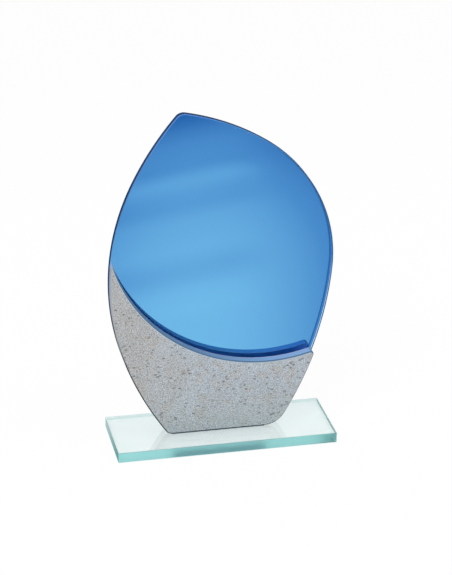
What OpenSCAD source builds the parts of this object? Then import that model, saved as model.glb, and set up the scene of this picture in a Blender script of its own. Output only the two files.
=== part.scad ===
// Glass award: a pointed oval mirror plate with a stone-effect panel bonded to its front, on a glass base.
// Millimetres. +Z is up, the front faces -Y, and the origin is the middle of the base's underside.

/* [Base] */
// Width of the base plate
base_w = 127; // [110:1:160]
// Depth of the base plate, front to back
base_d = 46; // [36:1:70]
// Thickness of the base glass
base_t = 6; // [5:1:10]

/* [Plates] */
// Thickness of the mirror plate's glass
mirror_t = 5; // [3:0.5:8]
// Thickness of the front panel's glass
panel_t = 5; // [3:0.5:8]
// Distance of the plates' middle line to the right of the base's middle line
stand_x = 0.35; // [-2:0.05:2]
// Distance of the layers' middle behind the base's middle line
stand_y = -0.7; // [-4:0.1:4]

/* [Mirror plate outline] */
// Half of the plate's width, from the middle line to its widest point on each side
half_w = 64.1; // [62:0.1:67]
// Radius of the point at the top
tip_r = 5.5; // [2:0.5:8]

/* [Left side] */
// Height of the widest point
left_widest = 97; // [93:1:101]
// Radius of the arc from the point at the top to the shoulder
left_upper_r = 180; // [160:5:200]
// Radius of the shoulder, the arc through the widest point
left_shoulder_r = 135; // [125:5:145]
// Radius of the arc from the shoulder to the foot
left_lower_r = 185; // [175:5:200]
// Degrees of the shoulder above the widest point
left_rise = 26.5; // [24:0.5:29]
// Degrees of the shoulder below the widest point
left_fall = 21.5; // [19:0.5:24]
// Radius of the corner at the foot
left_foot_r = 4; // [2:0.5:8]

/* [Right side] */
// Height of the widest point
right_widest = 106.5; // [102:0.5:111]
// Radius of the arc from the point at the top to the shoulder
right_upper_r = 131; // [122:1:140]
// Radius of the shoulder, the arc through the widest point
right_shoulder_r = 84; // [80:1:88]
// Radius of the arc from the shoulder to the foot
right_lower_r = 205; // [190:5:225]
// Degrees of the shoulder above the widest point
right_rise = 56.5; // [54:0.5:59]
// Degrees of the shoulder below the widest point
right_fall = 5; // [3:0.5:7]
// Radius of the corner at the foot
right_foot_r = 13.5; // [8:0.5:18]

/* [Front panel] */
// Radius of the hollow arc along the panel's top edge
sweep_r = 91.5; // [86:0.5:96]
// Distance of that arc's lowest point to the right of the middle line
sweep_x = 25.2; // [22:0.1:28]
// Height of that arc's lowest point
sweep_z = 47.4; // [43:0.1:51]
// Radius of the panel's tall left tip
left_tip_r = 0.2; // [0.2:0.1:1]
// Radius of the panel's low right tip
right_tip_r = 2; // [0.5:0.5:3]

/* [Layers] */
// Thickness of the adhesive films
bond_t = 0.2; // [0.1:0.05:0.5]
// Thickness of the blue reflecting layer
coating_t = 0.1; // [0.05:0.05:0.3]
// Thickness of the protective layer behind it
backing_t = 0.2; // [0.1:0.05:0.5]
// Thickness of the stone-effect print
print_t = 0.2; // [0.1:0.05:0.5]

/* [Hidden] */
LEFT = -1;
RIGHT = 1;
// How far a straight step of an outline may leave its true arc
arc_error = 0.01;

// Fronts of the layers, from the print backwards
stack = print_t + panel_t + bond_t + mirror_t + coating_t + backing_t;
print_y = stand_y - stack / 2;
panel_y = print_y + print_t;
panel_bond_y = panel_y + panel_t;
mirror_y = panel_bond_y + bond_t;
coating_y = mirror_y + mirror_t;
backing_y = coating_y + coating_t;
// Height of the plates' feet
foot_z = base_t + bond_t;

// A unit vector at an angle above the horizontal, on the left or the right side
function ray(side, angle) = [side * cos(angle), sin(angle)];

// Direction from one point to another, in degrees from -90 (down) round through 0 (right) to 270
function heading(from, to) =
    let (a = atan2(to[1] - from[1], to[0] - from[0]))
    a < -90 ? a + 360 : a;

// Points along an arc from one angle to another, without its last point
function arc(c, r, from, to) =
    let (
        widest_step = 2 * acos(1 - arc_error / r),
        steps = ceil(abs(to - from) / widest_step)
    )
    [for (i = [0 : steps - 1]) let (a = from + (to - from) * i / steps) c + r * [cos(a), sin(a)]];

// Where two circles cross, on the left hand of someone who looks from the first centre to the second
function crossing(c1, r1, c2, r2) =
    let (
        d = norm(c2 - c1),
        along = (r1 * r1 - r2 * r2 + d * d) / (2 * d),
        off = sqrt(r1 * r1 - along * along),
        u = (c2 - c1) / d
    )
    c1 + along * u + off * [-u[1], u[0]];

// Centre of the small arc that rounds the foot's corner, tangent to the lower arc and the foot
function foot_centre(side, lower_c, lower_r, foot_r) =
    let (climb = foot_z + foot_r - lower_c[1])
    [lower_c[0] + side * sqrt(pow(lower_r - foot_r, 2) - climb * climb), foot_z + foot_r];

// Centres of the left side's arcs, each tangent to the next
left_shoulder = [left_shoulder_r - half_w, left_widest];
left_upper = left_shoulder + (left_shoulder_r - left_upper_r) * ray(LEFT, left_rise);
left_lower = left_shoulder + (left_shoulder_r - left_lower_r) * ray(LEFT, -left_fall);
left_foot = foot_centre(LEFT, left_lower, left_lower_r, left_foot_r);

// Centres of the right side's arcs
right_shoulder = [half_w - right_shoulder_r, right_widest];
right_upper = right_shoulder + (right_shoulder_r - right_upper_r) * ray(RIGHT, right_rise);
right_lower = right_shoulder + (right_shoulder_r - right_lower_r) * ray(RIGHT, -right_fall);
right_foot = foot_centre(RIGHT, right_lower, right_lower_r, right_foot_r);

// Centre of the point at the top, which touches both upper arcs from inside
tip = crossing(right_upper, right_upper_r - tip_r, left_upper, left_upper_r - tip_r);

// Centres of the panel's hollow arc and of its two tips
sweep = [sweep_x, sweep_z + sweep_r];
left_tip = crossing(left_shoulder, left_shoulder_r - left_tip_r, sweep, sweep_r + left_tip_r);
right_tip = crossing(sweep, sweep_r + right_tip_r, right_lower, right_lower_r - right_tip_r);

// Angles at which the arcs that both outlines share hand over to each other
at_left_foot = heading(left_lower, left_foot);
at_right_foot = heading(right_lower, right_foot);
at_left_fall = 180 + left_fall;

// The foot with its two rounded corners
foot_points = concat(
    arc(left_foot, left_foot_r, at_left_foot, 270),
    arc(right_foot, right_foot_r, -90, at_right_foot)
);

// Outline of the mirror plate, counterclockwise from the left foot
flame_points = concat(
    foot_points,
    arc(right_lower, right_lower_r, at_right_foot, -right_fall),
    arc(right_shoulder, right_shoulder_r, -right_fall, right_rise),
    arc(right_upper, right_upper_r, right_rise, heading(right_upper, tip)),
    arc(tip, tip_r, heading(right_upper, tip), heading(left_upper, tip)),
    arc(left_upper, left_upper_r, heading(left_upper, tip), 180 - left_rise),
    arc(left_shoulder, left_shoulder_r, 180 - left_rise, at_left_fall),
    arc(left_lower, left_lower_r, at_left_fall, at_left_foot)
);

// Outline of the front panel: the lower part of the mirror plate, under the hollow arc
panel_points = concat(
    foot_points,
    arc(right_lower, right_lower_r, at_right_foot, heading(right_lower, right_tip)),
    arc(right_tip, right_tip_r, heading(right_lower, right_tip), heading(right_tip, sweep)),
    arc(sweep, sweep_r, heading(sweep, right_tip) + 360, heading(sweep, left_tip)),
    arc(left_tip, left_tip_r, heading(left_tip, sweep), heading(left_shoulder, left_tip)),
    arc(left_shoulder, left_shoulder_r, heading(left_shoulder, left_tip), at_left_fall),
    arc(left_lower, left_lower_r, at_left_fall, at_left_foot)
);

// Stands an outline upright as a plate that runs back from y
module upright(points, y, t) {
    translate([stand_x, y + t, 0]) rotate([90, 0, 0]) linear_extrude(t) polygon(points);
}

// Clear glass plate that everything stands on
module base_plate() {
    color([0.72, 0.90, 0.89, 0.6])
        translate([-base_w / 2, -base_d / 2, 0]) cube([base_w, base_d, base_t]);
}

// Adhesive film under the feet of both plates
module foot_bond() {
    color([0.85, 0.92, 0.92, 0.6])
        translate([stand_x + left_foot[0], panel_y, base_t])
            cube([right_foot[0] - left_foot[0], coating_y - panel_y, bond_t]);
}

// Clear glass of the mirror plate
module mirror_glass() {
    color([0.75, 0.88, 0.93, 0.4]) upright(flame_points, mirror_y, mirror_t);
}

// Blue reflecting layer on the back of the mirror plate
module mirror_coating() {
    color([0.20, 0.50, 0.80]) upright(flame_points, coating_y, coating_t);
}

// Protective layer behind the reflecting layer
module mirror_backing() {
    color([0.30, 0.32, 0.36]) upright(flame_points, backing_y, backing_t);
}

// Adhesive film between the mirror plate and the front panel
module panel_bond() {
    color([0.70, 0.80, 0.88, 0.6]) upright(panel_points, panel_bond_y, bond_t);
}

// Clear glass of the front panel
module panel_glass() {
    color([0.78, 0.90, 0.92, 0.4]) upright(panel_points, panel_y, panel_t);
}

// Stone-effect print on the front of the panel
module stone_print() {
    color([0.70, 0.70, 0.71]) upright(panel_points, print_y, print_t);
}

base_plate();
foot_bond();
mirror_glass();
mirror_coating();
mirror_backing();
panel_bond();
panel_glass();
stone_print();
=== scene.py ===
import math

import bmesh
import bpy
from mathutils import Matrix, Vector


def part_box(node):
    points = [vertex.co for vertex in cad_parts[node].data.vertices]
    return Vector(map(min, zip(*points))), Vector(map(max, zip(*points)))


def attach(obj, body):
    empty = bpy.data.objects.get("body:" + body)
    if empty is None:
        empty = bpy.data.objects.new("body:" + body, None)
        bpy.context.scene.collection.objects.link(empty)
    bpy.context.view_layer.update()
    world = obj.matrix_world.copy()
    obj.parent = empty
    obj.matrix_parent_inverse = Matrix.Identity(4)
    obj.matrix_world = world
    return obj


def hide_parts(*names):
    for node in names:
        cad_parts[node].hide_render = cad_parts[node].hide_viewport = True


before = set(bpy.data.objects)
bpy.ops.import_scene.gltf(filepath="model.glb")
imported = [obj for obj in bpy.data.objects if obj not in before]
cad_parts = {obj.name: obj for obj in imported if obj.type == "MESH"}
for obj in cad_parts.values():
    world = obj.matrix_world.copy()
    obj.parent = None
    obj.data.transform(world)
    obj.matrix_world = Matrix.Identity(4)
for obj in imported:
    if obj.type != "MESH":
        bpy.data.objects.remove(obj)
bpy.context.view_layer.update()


# Base plate
# A rectangle of clear float glass that carries the whole award. Its edges are cut, ground and half polished,
# with the sharp corners just broken, and the iron in the glass turns them sea green.

MM = 0.001
white = (1.0, 1.0, 1.0, 1.0)
base_arris = 0.15 * MM
base_absorbs_most = 14.0
base_passes = (0.0, 0.767, 0.767)
base_front_colour = (0.85, 1.0, 0.98)
base_front_clear = 1.0
base_front_rough = 0.55
base_rear_colour = (0.80, 0.97, 0.97)
base_rear_passes = 0.2
# Painted shade and light on the ends: the left end is painted darker towards the front, and the right end
# paler
base_end_dark = (0.08, 0.34, 0.33)
base_end_pale = (0.43, 0.61, 0.63)
base_end_right = (0.34, 0.66, 0.65)
base_end_clear = 0.1
base_end_rough = 0.45
base_edge_shine = 0.05
base_face_shine = 1.0
# How squarely a face of a plate looks along the plate's own direction, at the least
face_turn = 0.99
glass_bends = 1.5
# Scratches to the millimetre in a ground edge, and how much its roughness varies with them
scratch_scale = 6.0
scratch_depth = 0.1
# Corners that turn more than this stay sharp
sharp_turn = math.radians(30)


class Wire:
    """An output socket in a node tree. Arithmetic with wires and numbers adds Math nodes."""

    def __init__(self, tree, socket=None):
        self.tree = tree
        self.socket = socket

    def node(self, kind, settings=None, sockets=None, output=0):
        made = self.tree.nodes.new(kind)
        for name, value in (settings or {}).items():
            if name == "stops":
                self.set_stops(made.color_ramp, *value)
            else:
                setattr(made, name, value)
        for key, value in (sockets or {}).items():
            if isinstance(value, Wire):
                self.tree.links.new(value.socket, made.inputs[key])
            else:
                made.inputs[key].default_value = value
        return Wire(self.tree, made.outputs[output] if made.outputs else None)

    @staticmethod
    def set_stops(ramp, interpolation, stops):
        ramp.interpolation = interpolation
        while len(ramp.elements) < len(stops):
            ramp.elements.new(1.0)
        for element, (position, colour) in zip(ramp.elements, stops):
            element.position = position
            element.color = (*colour, 1.0)

    def math(self, operation, *values):
        return self.node("ShaderNodeMath", {"operation": operation}, dict(enumerate(values)))

    def __add__(self, other):
        return self.math("ADD", self, other)

    __radd__ = __add__

    def __sub__(self, other):
        return self.math("SUBTRACT", self, other)

    def __rsub__(self, other):
        return self.math("SUBTRACT", other, self)

    def __mul__(self, other):
        return self.math("MULTIPLY", self, other)

    __rmul__ = __mul__


def start_finish(name):
    finish = bpy.data.materials.new(name)
    finish.use_nodes = True
    finish.node_tree.nodes.clear()
    return finish, Wire(finish.node_tree)


def part_of(tree, vector, axis):
    """The part of a vector along one axis."""
    return tree.node("ShaderNodeSeparateXYZ", {}, {0: vector}, output=axis)


def facing(tree, axis):
    """How squarely a surface looks along an axis, from -1 to 1."""
    return part_of(tree, tree.node("ShaderNodeNewGeometry", output="Normal"), axis)


def squarely(tree, axis):
    """How squarely a surface looks along an axis, either way, from 0 to 1."""
    return tree.math("ABSOLUTE", facing(tree, axis))


def scaled(tree, vector, times):
    """A vector or a colour, so many times as large."""
    return tree.node("ShaderNodeVectorMath", {"operation": "SCALE"}, {0: vector, "Scale": times})


def place_in_mm(tree):
    """The place on the piece, in millimetres."""
    return scaled(tree, tree.node("ShaderNodeTexCoord", output="Object"), 1 / MM)


def speckle(tree, where, scale, detail=2.0, roughness=0.5):
    """Soft random patches from 0 to 1, so many to the millimetre."""
    sockets = {"Vector": where, "Scale": scale, "Detail": detail, "Roughness": roughness}
    return tree.node("ShaderNodeTexNoise", {}, sockets)


def between(tree, value, low, high):
    """0 below the low value, 1 above the high one, and a soft step between."""
    sockets = {"Value": value, "From Min": low, "From Max": high}
    return tree.node("ShaderNodeMapRange", {"interpolation_type": "SMOOTHSTEP"}, sockets)


def blend(tree, share, low, high):
    """A colour on the way from one colour to another."""
    sockets = {0: share}
    for key, colour in ((6, low), (7, high)):
        sockets[key] = colour if isinstance(colour, Wire) else (*colour, 1.0)
    return tree.node("ShaderNodeMix", {"data_type": "RGBA"}, sockets, output=2)


def ramp(tree, value, low, high, interpolation, colours):
    """A colour that runs through given colours, each at a place between the low and the high value."""
    stops = [((at - low) / (high - low), colour) for at, colour in colours]
    share = (value - low) * (1 / (high - low))
    return tree.node("ShaderNodeValToRGB", {"stops": (interpolation, stops)}, {0: share})


def join(tree, share, low, high):
    """A surface on the way from one surface to another."""
    return tree.node("ShaderNodeMixShader", {}, {0: share, 1: low, 2: high})


def clear_face(tree, shine):
    """The smooth face of float glass."""
    return tree.node("ShaderNodeBsdfPrincipled", {}, {
        "Base Color": white,
        "Roughness": 0.0,
        "IOR": glass_bends,
        "Specular Tint": (shine, shine, shine, 1.0),
        "Transmission Weight": 1.0,
    })


def ground_edge(tree, colour, clear, rough, shine):
    """A ground edge: its fine scratches scatter part of the light, and the rest goes through."""
    scratches = speckle(tree, place_in_mm(tree), scratch_scale, detail=3.0, roughness=0.7)
    return tree.node("ShaderNodeBsdfPrincipled", {}, {
        "Base Color": colour if isinstance(colour, Wire) else (*colour, 1.0),
        "Roughness": rough - scratch_depth / 2 + scratches * scratch_depth,
        "IOR": glass_bends,
        "Specular IOR Level": shine,
        "Specular Tint": (0.0, 0.0, 0.0, 1.0),
        "Transmission Weight": clear,
    })


def glowing_edge(tree, colour):
    """A ground edge through which the light behind it glows."""
    return tree.node("ShaderNodeBsdfTranslucent", {}, {"Color": (*colour, 1.0)})


def finish_glass(tree, axis, face, edge, absorbs_most, passes):
    """Joins the faces, which look along this axis, and the edges, and fills the glass with its iron tint."""
    at_edge = tree.math("LESS_THAN", squarely(tree, axis), face_turn)
    surface = join(tree, at_edge, face, edge)
    iron = tree.node("ShaderNodeVolumeAbsorption", {}, {"Color": (*passes, 1.0), "Density": absorbs_most})
    tree.node("ShaderNodeOutputMaterial", {}, {"Surface": surface, "Volume": iron})


def place(name, form, finish, node):
    """Turns a finished form into a piece that stands for its CAD node."""
    mesh = bpy.data.meshes.new(name)
    bmesh.ops.recalc_face_normals(form, faces=form.faces)
    form.to_mesh(mesh)
    form.free()
    mesh.materials.append(finish)
    mesh.shade_smooth()
    mesh.set_sharp_from_angle(angle=sharp_turn)
    piece = bpy.data.objects.new(name, mesh)
    bpy.context.scene.collection.objects.link(piece)
    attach(piece, "root")
    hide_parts(node)


def block(low, high, edge):
    """A box between two corners with its edges broken."""
    form = bmesh.new()
    size = high - low
    middle = (low + high) / 2
    bmesh.ops.create_cube(form, size=1.0, matrix=Matrix.Translation(middle) @ Matrix.Diagonal((*size, 1.0)))
    bmesh.ops.bevel(form, geom=form.edges[:], offset=edge, segments=1, profile=0.5, affect="EDGES")
    return form


base_low, base_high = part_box("base_plate")
base_glass, tree = start_finish("base_glass")
spot = place_in_mm(tree)
across = part_of(tree, spot, "X")
depth = part_of(tree, spot, "Y")
front_edge = ground_edge(tree, base_front_colour, base_front_clear, base_front_rough, base_edge_shine)
rear_edge = join(tree, base_rear_passes, glowing_edge(tree, base_rear_colour), front_edge)
rearward = between(tree, depth, base_low.y / MM, base_high.y / MM)
end_colour = blend(tree, rearward, base_end_dark, base_end_pale)
end_colour = blend(tree, tree.math("GREATER_THAN", across, 0.0), end_colour, base_end_right)
end_edge = ground_edge(tree, end_colour, base_end_clear, base_end_rough, base_edge_shine)
at_rear = tree.math("GREATER_THAN", depth, 0.0)
at_end = tree.math("GREATER_THAN", squarely(tree, "X"), face_turn)
base_edge = join(tree, at_end, join(tree, at_rear, front_edge, rear_edge), end_edge)
finish_glass(tree, "Z", clear_face(tree, base_face_shine), base_edge, base_absorbs_most, base_passes)
place("glass_base", block(base_low, base_high, base_arris), base_glass, "base_plate")


# Foot bond
# The film of clear adhesive, cured hard, that holds both upright plates to the base. It wets the glass on
# both sides, so it reaches a hair's breadth into them here. Its rim is dull. The film is painted dark blue as
# the shade under the plates seen through the base, and its rim darker still as a painted shadow line at the
# foot.

bond_wets = 0.05 * MM
bond_corner = 0.1 * MM
# Painted shade: the clear film is coloured dark blue for the shade under the plates that shows through the
# base
bond_shade_colour = (0.005, 0.16, 0.27)
bond_streak_shade_colour = (0.02, 0.19, 0.30)
# Painted shadow: the rim is coloured dark as the shadow line at the foot
bond_rim_shadow_colour = (0.05, 0.09, 0.09)
# Streaks to the millimetre, where they start and end, and how much rougher they are than the film
bond_streak_scale = 0.15
bond_streaks = (0.4, 0.6)
bond_rough = 0.25
bond_streak_rough = 0.1


def finish_film(tree, streaks, colour, rough):
    """A cured film, a little rougher in its streaks."""
    film = tree.node("ShaderNodeBsdfPrincipled", {}, {
        "Base Color": colour,
        "Roughness": rough + streaks * bond_streak_rough,
    })
    tree.node("ShaderNodeOutputMaterial", {}, {"Surface": film})


foot_low, foot_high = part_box("foot_bond")
foot_reach = Vector((0.0, 0.0, bond_wets))
adhesive, tree = start_finish("cured_adhesive")
streaks = between(tree, speckle(tree, place_in_mm(tree), bond_streak_scale, detail=3.0), *bond_streaks)
film_colour = blend(tree, streaks, bond_shade_colour, bond_streak_shade_colour)
at_rim = tree.math("LESS_THAN", squarely(tree, "Z"), face_turn)
finish_film(tree, streaks, blend(tree, at_rim, film_colour, bond_rim_shadow_colour), bond_rough)
foot_film = block(foot_low - foot_reach, foot_high + foot_reach, bond_corner)
place("foot_adhesive", foot_film, adhesive, "foot_bond")


# Mirror glass
# The pointed oval plate of clear float glass. It is cut to shape, its edge is ground, and an arris is taken
# off in front, with a finer one at the rear. The left edge is dull, and painted with the blue reflection and
# the shade its glass shows, and the rear of the edge all round is painted dark as shade. The right one lets
# light in.

# Width and depth of the arris in front, and the width of the one at the rear
mirror_arris = (0.85 * MM, 0.54 * MM)
rear_arris = 0.03 * MM
plate_absorbs_most = 8.0
plate_passes = (0.0, 0.64, 0.62)
# Painted reflection and shade on the edge on the left, as colours at heights in millimetres, and the share of
# them that is left at the rear, where the edge is painted as shade
mirror_edge_bottom = 80.0
mirror_edge_top = 180.0
left_edge_reflection_colours = (
    (mirror_edge_bottom, (0.02, 0.035, 0.05)),
    (100.0, (0.07, 0.17, 0.42)),
    (145.0, (0.07, 0.17, 0.42)),
    (mirror_edge_top, (0.12, 0.29, 0.70)),
)
edge_rear_shade = 0.21
mirror_edge_right = (0.60, 0.80, 1.0)
mirror_arris_right = (0.30, 0.42, 0.55)
plate_edge_clear = 0.0
plate_edge_rough = 0.5
plate_edge_shine = 0.0
mirror_face_shine = 0.0
# Depths behind the plate's front between which the edge turns to painted shade, and how much deeper that is
# on the right
edge_turns = (1.5, 2.3)
right_turns_later = 3.0
# Millimetres to the right between which the left edge's look gives way to the right edge's
right_begins = (25.0, 55.0)
# How squarely an arris looks to the front or the rear, at the least
arris_turns = (0.4, 0.6)
# Points of the CAD mesh, and points of a new form, that are this close are one point
cad_weld = 0.01 * MM
form_weld = 0.001 * MM
# How squarely the front of a CAD plate looks forward, at the least
front_turn = 0.9
# A drawn-in point that keeps less than this share of the margin is crowded
crowded_share = 0.98


def outline(node):
    """A flat upright node's outline from the front, as (x, z) points in order."""
    form = bmesh.new()
    form.from_mesh(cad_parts[node].data)
    bmesh.ops.remove_doubles(form, verts=form.verts, dist=cad_weld)
    form.normal_update()
    front = {face for face in form.faces if face.normal.y < -front_turn}
    rim = [edge for edge in form.edges if len(front.intersection(edge.link_faces)) == 1]
    after = {}
    for edge in rim:
        loop = next(loop for loop in edge.link_loops if loop.face in front)
        after[loop.vert] = loop.link_loop_next.vert
    vert = rim[0].verts[0]
    points = []
    for _ in rim:
        points.append((vert.co.x, vert.co.z))
        vert = after[vert]
    form.free()
    return points


def gap(spot, start, end):
    """How far a spot lies from a straight step of an outline."""
    step = end - start
    share = (spot - start).dot(step) / step.length_squared
    return (start + step * min(max(share, 0.0), 1.0) - spot).length


def inset(points, margin):
    """The outline drawn in by a margin all round, point for point. The points of a corner that is too tight
    for the margin gather where its two sides meet."""
    count = len(points)
    spots = [Vector(point) for point in points]
    aims = [(spots[(i + 1) % count] - spots[i]).normalized() for i in range(count)]
    drawn = []
    for i, spot in enumerate(spots):
        along = (aims[i - 1] + aims[i]).normalized()
        drawn.append(spot + Vector((-along.y, along.x)) * margin / along.dot(aims[i]))
    crowded = []
    for spot in drawn:
        nearest = min(gap(spot, spots[i - 1], spots[i]) for i in range(count))
        crowded.append(nearest < margin * crowded_share)
    for i in range(count):
        if crowded[i] or not crowded[(i + 1) % count]:
            continue
        run = [(i + 1) % count]
        while crowded[(run[-1] + 1) % count]:
            run.append((run[-1] + 1) % count)
        last_aim = aims[run[-1]]
        reach = drawn[(run[-1] + 1) % count] - drawn[i]
        corner = drawn[i] + aims[i] * reach.cross(last_aim) / aims[i].cross(last_aim)
        for j in run:
            drawn[j] = corner
    return drawn


def upright(points, rings):
    """An upright plate of this outline. Each ring is a depth and how far the outline is drawn in there."""
    form = bmesh.new()
    loops = [[form.verts.new((x, depth, z)) for x, z in inset(points, margin)] for depth, margin in rings]
    for ring, behind in zip(loops, loops[1:]):
        for i in range(len(points)):
            form.faces.new((ring[i - 1], ring[i], behind[i], behind[i - 1]))
    form.faces.new(loops[0])
    form.faces.new(loops[-1])
    bmesh.ops.remove_doubles(form, verts=form.verts, dist=form_weld)
    return form


def plate(points, low, high, arris):
    """A glass plate that fills a box, with an arris along its front and a fine one along its rear."""
    width, depth = arris
    rings = ((low.y, width), (low.y + depth, 0.0), (high.y - rear_arris, 0.0), (high.y, rear_arris))
    return upright(points, rings)


def layer(points, front, rear, margin):
    """A thin layer on a plate, drawn in by a margin."""
    return upright(points, ((front, margin), (rear, margin)))


def on_arris(tree):
    """1 on the slanted arrises of an upright plate, and 0 on its edge."""
    return between(tree, squarely(tree, "Y"), *arris_turns)


flame = outline("mirror_glass")
mirror_low, mirror_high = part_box("mirror_glass")
mirror_glass, tree = start_finish("mirror_plate_glass")
spot = place_in_mm(tree)
across = part_of(tree, spot, "X")
depth = part_of(tree, spot, "Y")
height = part_of(tree, spot, "Z")
right_share = between(tree, across, *right_begins)
rear_shade_share = between(tree, depth - mirror_low.y / MM - right_share * right_turns_later, *edge_turns)
left_reflection_colour = ramp(tree, height, mirror_edge_bottom, mirror_edge_top, "LINEAR", left_edge_reflection_colours)
rear_shade_colour = scaled(tree, left_reflection_colour, edge_rear_shade)
left_edge = ground_edge(tree, left_reflection_colour, plate_edge_clear, plate_edge_rough, plate_edge_shine)
right_edge = glowing_edge(tree, mirror_edge_right)
rear_edge = ground_edge(tree, rear_shade_colour, plate_edge_clear, plate_edge_rough, plate_edge_shine)
right_arris = glowing_edge(tree, mirror_arris_right)
face = clear_face(tree, mirror_face_shine)
flat_edge = join(tree, rear_shade_share, join(tree, right_share, left_edge, right_edge), rear_edge)
arris = join(tree, right_share, face, right_arris)
mirror_edge = join(tree, on_arris(tree), flat_edge, arris)
finish_glass(tree, "Y", face, mirror_edge, plate_absorbs_most, plate_passes)
mirror_form = plate(flame, mirror_low, mirror_high, mirror_arris)
place("mirror_plate", mirror_form, mirror_glass, "mirror_glass")


# Mirror coating
# The blue reflecting layer on the back of the plate, sputtered on in vacuum. Its tint carries a painted
# reflection: it is deepest at the point and along the sides and palest low down, and it runs in soft bands
# that slant on the left half.

coating_wets = 0.02 * MM
# Heights in millimetres between which the painted reflection deepens the tint, and its paleness at the
# lower one, from 0 to 1
fade_from = 50.0
fade_to = 200.0
fade_palest = 0.95
# Painted reflections in soft bands across the left half: the height of the middle, the reach up and down,
# and how much paler it is
painted_reflection_bands = ((83, 10, 0.03), (106, 15, -0.13), (145, 9, -0.07), (160, 9, 0.14), (181, 20, 0.13))
band_slope = 0.15
halves_meet = (0.0, 40.0)
# The painted reflection deepens the tint away from this line, in millimetres to the right, with the square
# of the distance
tint_middle = -15.0
tint_fall = 0.00007
deep_tint = (0.011, 0.103, 0.39)
middle_tint = (0.072, 0.268, 0.615)
pale_tint = (0.18, 0.515, 0.85)
coating_rough = 0.02


def soft_band(tree, height, middle, reach):
    """1 in the middle of a band, and less towards its reach on both sides."""
    return 1 - between(tree, tree.math("ABSOLUTE", height - middle), 0.0, reach)


blue_mirror, tree = start_finish("blue_mirror")
spot = place_in_mm(tree)
across = part_of(tree, spot, "X")
height = part_of(tree, spot, "Z")
left_share = 1 - between(tree, across, *halves_meet)
slanted = height - across * left_share * band_slope
rise = (slanted - fade_from) * (1 / (fade_to - fade_from))
off_middle = across - tint_middle
reflection_paleness = fade_palest - rise * rise * rise * fade_palest - off_middle * off_middle * tint_fall
for middle, reach, paler in painted_reflection_bands:
    reflection_paleness = reflection_paleness + soft_band(tree, slanted, middle, reach) * left_share * paler
tint = ramp(tree, reflection_paleness, 0.0, 1.0, "LINEAR", ((0.0, deep_tint), (0.5, middle_tint), (1.0, pale_tint)))
metal = tree.node("ShaderNodeBsdfPrincipled", {}, {
    "Base Color": tint,
    "Roughness": coating_rough,
    "Metallic": 1.0,
})
tree.node("ShaderNodeOutputMaterial", {}, {"Surface": metal})
coating_low, coating_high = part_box("mirror_coating")
coating_form = layer(flame, coating_low.y - coating_wets, coating_high.y, rear_arris)
place("mirror_layer", coating_form, blue_mirror, "mirror_coating")


# Mirror backing
# The coat of paint that protects the reflecting layer from scratches. It is sprayed on, dries dark grey and
# keeps the fine ripple of the spray.

backing_laps = 0.05 * MM
backing_colour = (0.045, 0.050, 0.060)
backing_pale_colour = (0.065, 0.070, 0.080)
# Clouds and ripples to the millimetre, and the height of the ripples
backing_cloud_scale = 0.05
backing_ripple_scale = 1.2
backing_ripple_height = 0.05 * MM
backing_ripple_strength = 0.3
backing_rough = 0.4
backing_cloud_rough = 0.2

backing_paint, tree = start_finish("backing_paint")
spot = place_in_mm(tree)
cloud = speckle(tree, spot, backing_cloud_scale, detail=3.0)
ripple = speckle(tree, spot, backing_ripple_scale)
paint_skin = tree.node("ShaderNodeBump", {}, {
    "Strength": backing_ripple_strength,
    "Distance": backing_ripple_height,
    "Height": ripple,
})
paint = tree.node("ShaderNodeBsdfPrincipled", {}, {
    "Base Color": blend(tree, cloud, backing_colour, backing_pale_colour),
    "Roughness": backing_rough + cloud * backing_cloud_rough,
    "Normal": paint_skin,
})
tree.node("ShaderNodeOutputMaterial", {}, {"Surface": paint})
backing_low, backing_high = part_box("mirror_backing")
backing_form = layer(flame, backing_low.y - backing_laps, backing_high.y, rear_arris)
place("mirror_back_paint", backing_form, backing_paint, "mirror_backing")


# Panel bond
# The film of clear adhesive between the mirror plate and the front panel, squeezed thin and cured hard. It
# wets the glass on both sides, and shows as a fine line along the panel's top edge and sides.

panel_bond_colour = (1.0, 0.78, 1.0)
panel_bond_streak = (0.95, 0.74, 0.98)
panel_streak_scale = 0.1
panel_bond_rough = 0.35

panel = outline("panel_glass")
panel_adhesive, tree = start_finish("panel_adhesive")
streaks = between(tree, speckle(tree, place_in_mm(tree), panel_streak_scale, detail=3.0), *bond_streaks)
film_colour = blend(tree, streaks, panel_bond_colour, panel_bond_streak)
finish_film(tree, streaks, film_colour, panel_bond_rough)
film_low, film_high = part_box("panel_bond")
film_form = layer(panel, film_low.y - bond_wets, film_high.y + bond_wets, rear_arris)
place("panel_adhesive", film_form, panel_adhesive, "panel_bond")


# Front panel
# The lower plate of clear float glass in front of the mirror plate, with a hollow sweeping top edge. Its edge
# is ground like the mirror plate's, with a narrower arris in front. Light and shade are painted on the edge:
# blue painted light and reflection on top, painted grey light at the sides and dark painted shade where the
# left side turns under.

# Width and depth of the arris in front
panel_arris = (0.7 * MM, 0.44 * MM)
# Painted light and reflection: the top of the edge is painted blue, paler towards the right end of the top
panel_ledge_lit_left = (0.15, 0.27, 0.44)
panel_ledge_lit_right = (0.26, 0.43, 0.69)
# Painted shade on the arris along the top
panel_ledge_arris_shade = (0.09, 0.17, 0.28)
# Painted light and shade: the sides are grey where they face up or right, and dark where the left side turns
# under
panel_lit_side_colour = (0.33, 0.38, 0.46)
panel_shade_colour = (0.07, 0.09, 0.11)
panel_lit_side_arris = (0.38, 0.40, 0.42)
panel_shade_arris = (0.03, 0.045, 0.055)
panel_face_shine = 1.0
# How far the edge looks up where the top begins, and to the right from one end of the top to the other
top_turns = (0.1, 0.2)
ledge_turns = (-0.3, 0.6)
# How far the edge looks up, or else to the right, where the painted shade gives way to painted light
under_turns = (-0.20, -0.08)
right_turns = (0.2, 0.35)

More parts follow.
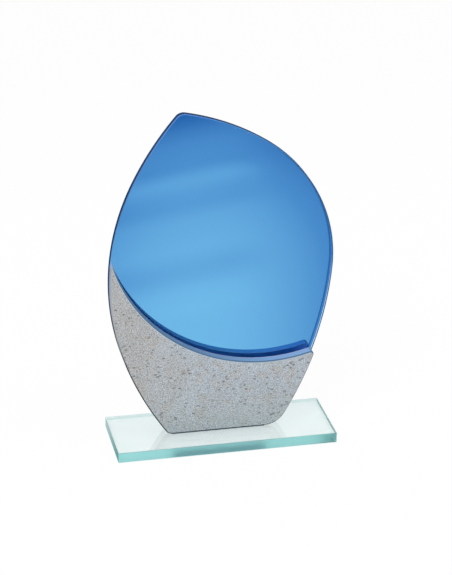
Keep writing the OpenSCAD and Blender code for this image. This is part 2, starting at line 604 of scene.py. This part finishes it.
panel_low, panel_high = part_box("panel_glass")
panel_glass, tree = start_finish("panel_plate_glass")
rightward = facing(tree, "X")
upward = facing(tree, "Z")
on_top = between(tree, upward, *top_turns)
ledge_colour = blend(tree, between(tree, rightward, *ledge_turns), panel_ledge_lit_right, panel_ledge_lit_left)
ledge_colour = blend(tree, on_arris(tree), ledge_colour, panel_ledge_arris_shade)
lit = tree.math("MAXIMUM", between(tree, upward, *under_turns), between(tree, rightward, *right_turns))
arris_colour = blend(tree, lit, panel_shade_arris, panel_lit_side_arris)
side_colour = blend(tree, lit, panel_shade_colour, panel_lit_side_colour)
side_colour = blend(tree, on_arris(tree), side_colour, arris_colour)
panel_colour = blend(tree, on_top, side_colour, ledge_colour)
panel_edge = ground_edge(tree, panel_colour, plate_edge_clear, plate_edge_rough, plate_edge_shine)
panel_face = clear_face(tree, panel_face_shine)
finish_glass(tree, "Y", panel_face, panel_edge, plate_absorbs_most, plate_passes)
panel_form = plate(panel, panel_low, panel_high, panel_arris)
place("front_panel", panel_form, panel_glass, "panel_glass")


# Stone print
# The stone-effect print on the front of the panel: fine grey grain with brown stains, dark pits and pale
# specks. It stops at the arris, a pale strip painted as a highlight runs along the hollow top edge, and its
# back is dark.

# Width of the painted highlight along the hollow top edge
top_highlight_width = 0.35 * MM
stone_colour = (0.39, 0.435, 0.478)
stone_warm_colour = (0.385, 0.395, 0.405)
stone_low_colour = (0.39, 0.44, 0.468)
stone_stain_colour = (0.38, 0.355, 0.33)
stone_pit_colour = (0.105, 0.10, 0.09)
stone_speck_colour = (0.66, 0.68, 0.70)
top_highlight_colour = (0.44, 0.51, 0.57)
print_back_colour = (0.03, 0.04, 0.06)
# Grains, patches and flecks to the millimetre, and the middle of all noise
grain_scale = 1.5
mottle_scale = 0.3
cloud_scale = 0.05
stain_scale = 0.14
cluster_scale = 0.1
fleck_scale = 0.5
stir_scale = 0.7
noise_middle = 0.5
# Where the soft patches start and end, as noise from 0 to 1
stain_edge = (0.5, 0.66)
cluster_edge = (0.36, 0.58)
# Shares of the room that a fleck has, and the share of places that hold one
pit_edge = (0.12, 0.40)
pits_kept = 0.7
freckle_edge = (0.08, 0.40)
freckles_kept = 0.55
speck_edge = (0.08, 0.36)
specks_kept = 0.3
# How strongly each shows
stain_strength = 0.5
speck_strength = 0.25
pit_strength = 0.72
freckle_strength = 0.36
grain_strength = 2.2
mottle_strength = 0.3
cloud_strength = 0.2
# Millimetres to the right and up between which the warm and the low colour give way, and how far they wander
warm_ends = (-50.0, -5.0)
warm_wanders = 80.0
low_ends = (12.0, 40.0)
low_wanders = 20.0
# The rows of pits lie at a slant and are drawn out along it
pit_slant = math.radians(-40)
pit_stretch = 0.6
pit_shift = 4.0
print_rough = 0.55
pit_rough = 0.2
# The ink stands up a little, more at the grains and less at the pits
relief_height = 0.1 * MM
relief_strength = 0.25
relief_grain = 0.5


def hollow_circle(points):
    """The middle and the radius of the round stretch along which an outline bends inwards."""
    spots = [Vector(point) for point in points]
    hollow = []
    for before, spot, after in zip(spots, spots[1:], spots[2:]):
        if (spot - before).cross(after - spot) < 0:
            hollow.append(spot)
    first, second, third = (hollow[len(hollow) * i // 3] for i in range(3))
    chords = Matrix((second - first, third - first))
    reach = chords.inverted() @ Vector([chord.length_squared / 2 for chord in chords])
    return first + reach, reach.length


def flecks(tree, where, scale, kept, edge):
    """Round flecks from 0 to 1 at random places, so many to the millimetre, of which a share holds one.
    The edge is given as two shares of the room that a fleck has."""
    sockets = {"Vector": where, "Scale": scale}
    away = tree.node("ShaderNodeTexVoronoi", {}, sockets, output="Distance")
    chance = tree.node("ShaderNodeTexVoronoi", {}, sockets, output="Color")
    chance = tree.node("ShaderNodeSeparateColor", {}, {0: chance}, output="Red")
    return (1 - between(tree, away, *edge)) * tree.math("LESS_THAN", chance, kept)


stone_effect, tree = start_finish("stone_effect")
spot = place_in_mm(tree)
stir_sockets = {"Vector": spot, "Scale": stir_scale, "Detail": 2.0}
stir = tree.node("ShaderNodeTexNoise", {}, stir_sockets, output="Color")
stirred = tree.node("ShaderNodeVectorMath", {"operation": "ADD"}, {0: spot, 1: stir})
slant = tree.node("ShaderNodeMapping", {}, {
    "Vector": stirred,
    "Location": (pit_shift, 0.0, 0.0),
    "Rotation": (0.0, pit_slant, 0.0),
    "Scale": (pit_stretch, 1.0, 1.0),
})
across = part_of(tree, spot, "X")
height = part_of(tree, spot, "Z")
depth = part_of(tree, spot, "Y")
grain = speckle(tree, spot, grain_scale, detail=1.0, roughness=0.6) - noise_middle
mottle = speckle(tree, spot, mottle_scale, detail=3.0, roughness=0.6) - noise_middle
cloud = speckle(tree, spot, cloud_scale) - noise_middle
clusters = between(tree, speckle(tree, slant, cluster_scale), *cluster_edge)
pits = flecks(tree, slant, fleck_scale, pits_kept, pit_edge) * clusters
freckles = flecks(tree, stirred, fleck_scale, freckles_kept, freckle_edge)
specks = flecks(tree, stirred, fleck_scale, specks_kept, speck_edge)
warm = 1 - between(tree, across + cloud * warm_wanders, *warm_ends)
low = 1 - between(tree, height + mottle * low_wanders, *low_ends)
plain = blend(tree, low, blend(tree, warm, stone_colour, stone_warm_colour), stone_low_colour)
stains = between(tree, speckle(tree, stirred, stain_scale, detail=3.0, roughness=0.6), *stain_edge)
plain = blend(tree, stains * stain_strength, plain, stone_stain_colour)
plain = blend(tree, specks * speck_strength, plain, stone_speck_colour)
dark_share = tree.math("MAXIMUM", pits * pit_strength, freckles * freckle_strength)
stone_look = blend(tree, dark_share, plain, stone_pit_colour)
lift = 1 + grain * grain_strength + mottle * mottle_strength + cloud * cloud_strength
tone = scaled(tree, stone_look, lift)
print_low, print_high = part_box("stone_print")
sweep_middle, sweep_radius = hollow_circle(panel)
off_side = across - sweep_middle.x / MM
off_up = height - sweep_middle.y / MM
top_highlight_reach = (sweep_radius + panel_arris[0] + top_highlight_width) / MM
# Painted highlight: the pale strip along the hollow top edge
on_top_highlight = tree.math("LESS_THAN", off_side * off_side + off_up * off_up, top_highlight_reach * top_highlight_reach)
on_back = tree.math("GREATER_THAN", depth, print_high.y / MM)
ink = blend(tree, on_back, blend(tree, on_top_highlight, tone, top_highlight_colour), print_back_colour)
relief = grain * relief_grain - pits
ink_skin = tree.node("ShaderNodeBump", {}, {
    "Strength": relief_strength,
    "Distance": relief_height,
    "Height": relief,
})
stone = tree.node("ShaderNodeBsdfPrincipled", {}, {
    "Base Color": ink,
    "Roughness": print_rough + pits * pit_rough,
    "Normal": ink_skin,
})
tree.node("ShaderNodeOutputMaterial", {}, {"Surface": stone})
print_form = layer(panel, print_low.y, print_high.y + coating_wets, panel_arris[0])
place("stone_face", print_form, stone_effect, "stone_print")


# Stage
# A wide white floor and white surroundings, which show as plain white to the eye, in the mirror and through
# the glass. Two soft lamps from above, a strong one on the left and a weak one on the right, light the award.

floor_drop = 0.2 * MM
floor_half = 4.0
floor_colour = (0.95, 0.95, 0.95)
# How much of the floor's plain white shows directly and through glass, over the floor with its shadow
seen_share = 0.95
through_share = 0.70
room_light = 0.55
# Each lamp's name, place, side and power
lamps = (("key_lamp", (-0.7, -0.9, 1.3), 0.8, 14.0), ("fill_lamp", (0.9, -0.5, 1.2), 0.8, 5.0))
lamp_aim = Vector((0.0, 0.0, 0.08))


def seen_directly(tree):
    """1 for what the camera, a mirror or glass shows, and 0 for light that falls on the award."""
    camera = tree.node("ShaderNodeLightPath", output="Is Camera Ray")
    mirrored = tree.node("ShaderNodeLightPath", output="Is Glossy Ray")
    through = tree.node("ShaderNodeLightPath", output="Is Transmission Ray")
    return tree.math("MAXIMUM", camera, tree.math("MAXIMUM", mirrored, through))


floor_form = bmesh.new()
bmesh.ops.create_grid(floor_form, x_segments=1, y_segments=1, size=floor_half)
floor_mesh = bpy.data.meshes.new("floor")
floor_form.to_mesh(floor_mesh)
floor_form.free()
floor = bpy.data.objects.new("floor", floor_mesh)
floor.location.z = -floor_drop
bpy.context.scene.collection.objects.link(floor)
floor_white, tree = start_finish("floor_white")
matte = tree.node("ShaderNodeBsdfDiffuse", {}, {"Color": (*floor_colour, 1.0)})
glow = tree.node("ShaderNodeEmission", {}, {"Color": white, "Strength": 1.0})
through = tree.node("ShaderNodeLightPath", output="Is Transmission Ray")
glow_share = seen_directly(tree) * seen_share - through * (seen_share - through_share)
tree.node("ShaderNodeOutputMaterial", {}, {"Surface": join(tree, glow_share, matte, glow)})
floor_mesh.materials.append(floor_white)

world = bpy.data.worlds.new("white_room")
bpy.context.scene.world = world
world.use_nodes = True
world.node_tree.nodes.clear()
tree = Wire(world.node_tree)
strength = room_light + seen_directly(tree) * (1 - room_light)
sky = tree.node("ShaderNodeBackground", {}, {"Color": white, "Strength": strength})
tree.node("ShaderNodeOutputWorld", {}, {"Surface": sky})

for name, spot, side, power in lamps:
    lamp = bpy.data.lights.new(name, "AREA")
    lamp.size = side
    lamp.energy = power
    lamp_object = bpy.data.objects.new(name, lamp)
    lamp_object.location = spot
    lamp_object.rotation_euler = (lamp_aim - Vector(spot)).to_track_quat("-Z", "Y").to_euler()
    bpy.context.scene.collection.objects.link(lamp_object)


# Camera
# A long lens in front of the award, a little to the left and well above, turned by a trace about its own
# axis. It looks at a spot near the award's middle and frames the picture without any shift.

view_azimuth = math.radians(-12.5)
view_elevation = math.radians(23.6)
view_roll = math.radians(0.5)
view_distance = 1.1507
view_target = Vector((0.00266, 0.0, 0.09239))
focal_pixels = 2050.0
image_height = 575.0
sensor = 36.0

level = math.cos(view_elevation)
back = Vector((math.sin(view_azimuth) * level, -math.cos(view_azimuth) * level, math.sin(view_elevation)))
right = Vector((math.cos(view_azimuth), math.sin(view_azimuth), 0.0))
up = back.cross(right)
roll_right = math.cos(view_roll) * right + math.sin(view_roll) * up
roll_up = math.cos(view_roll) * up - math.sin(view_roll) * right
lens = bpy.data.cameras.new("camera")
lens.sensor_width = sensor
lens.lens = focal_pixels / image_height * sensor
camera = bpy.data.objects.new("camera", lens)
turn = Matrix((roll_right, roll_up, back)).transposed()
camera.matrix_world = Matrix.Translation(view_target + back * view_distance) @ turn.to_4x4()
bpy.context.scene.collection.objects.link(camera)
bpy.context.scene.camera = camera
bpy.context.scene.view_settings.view_transform = "Standard"
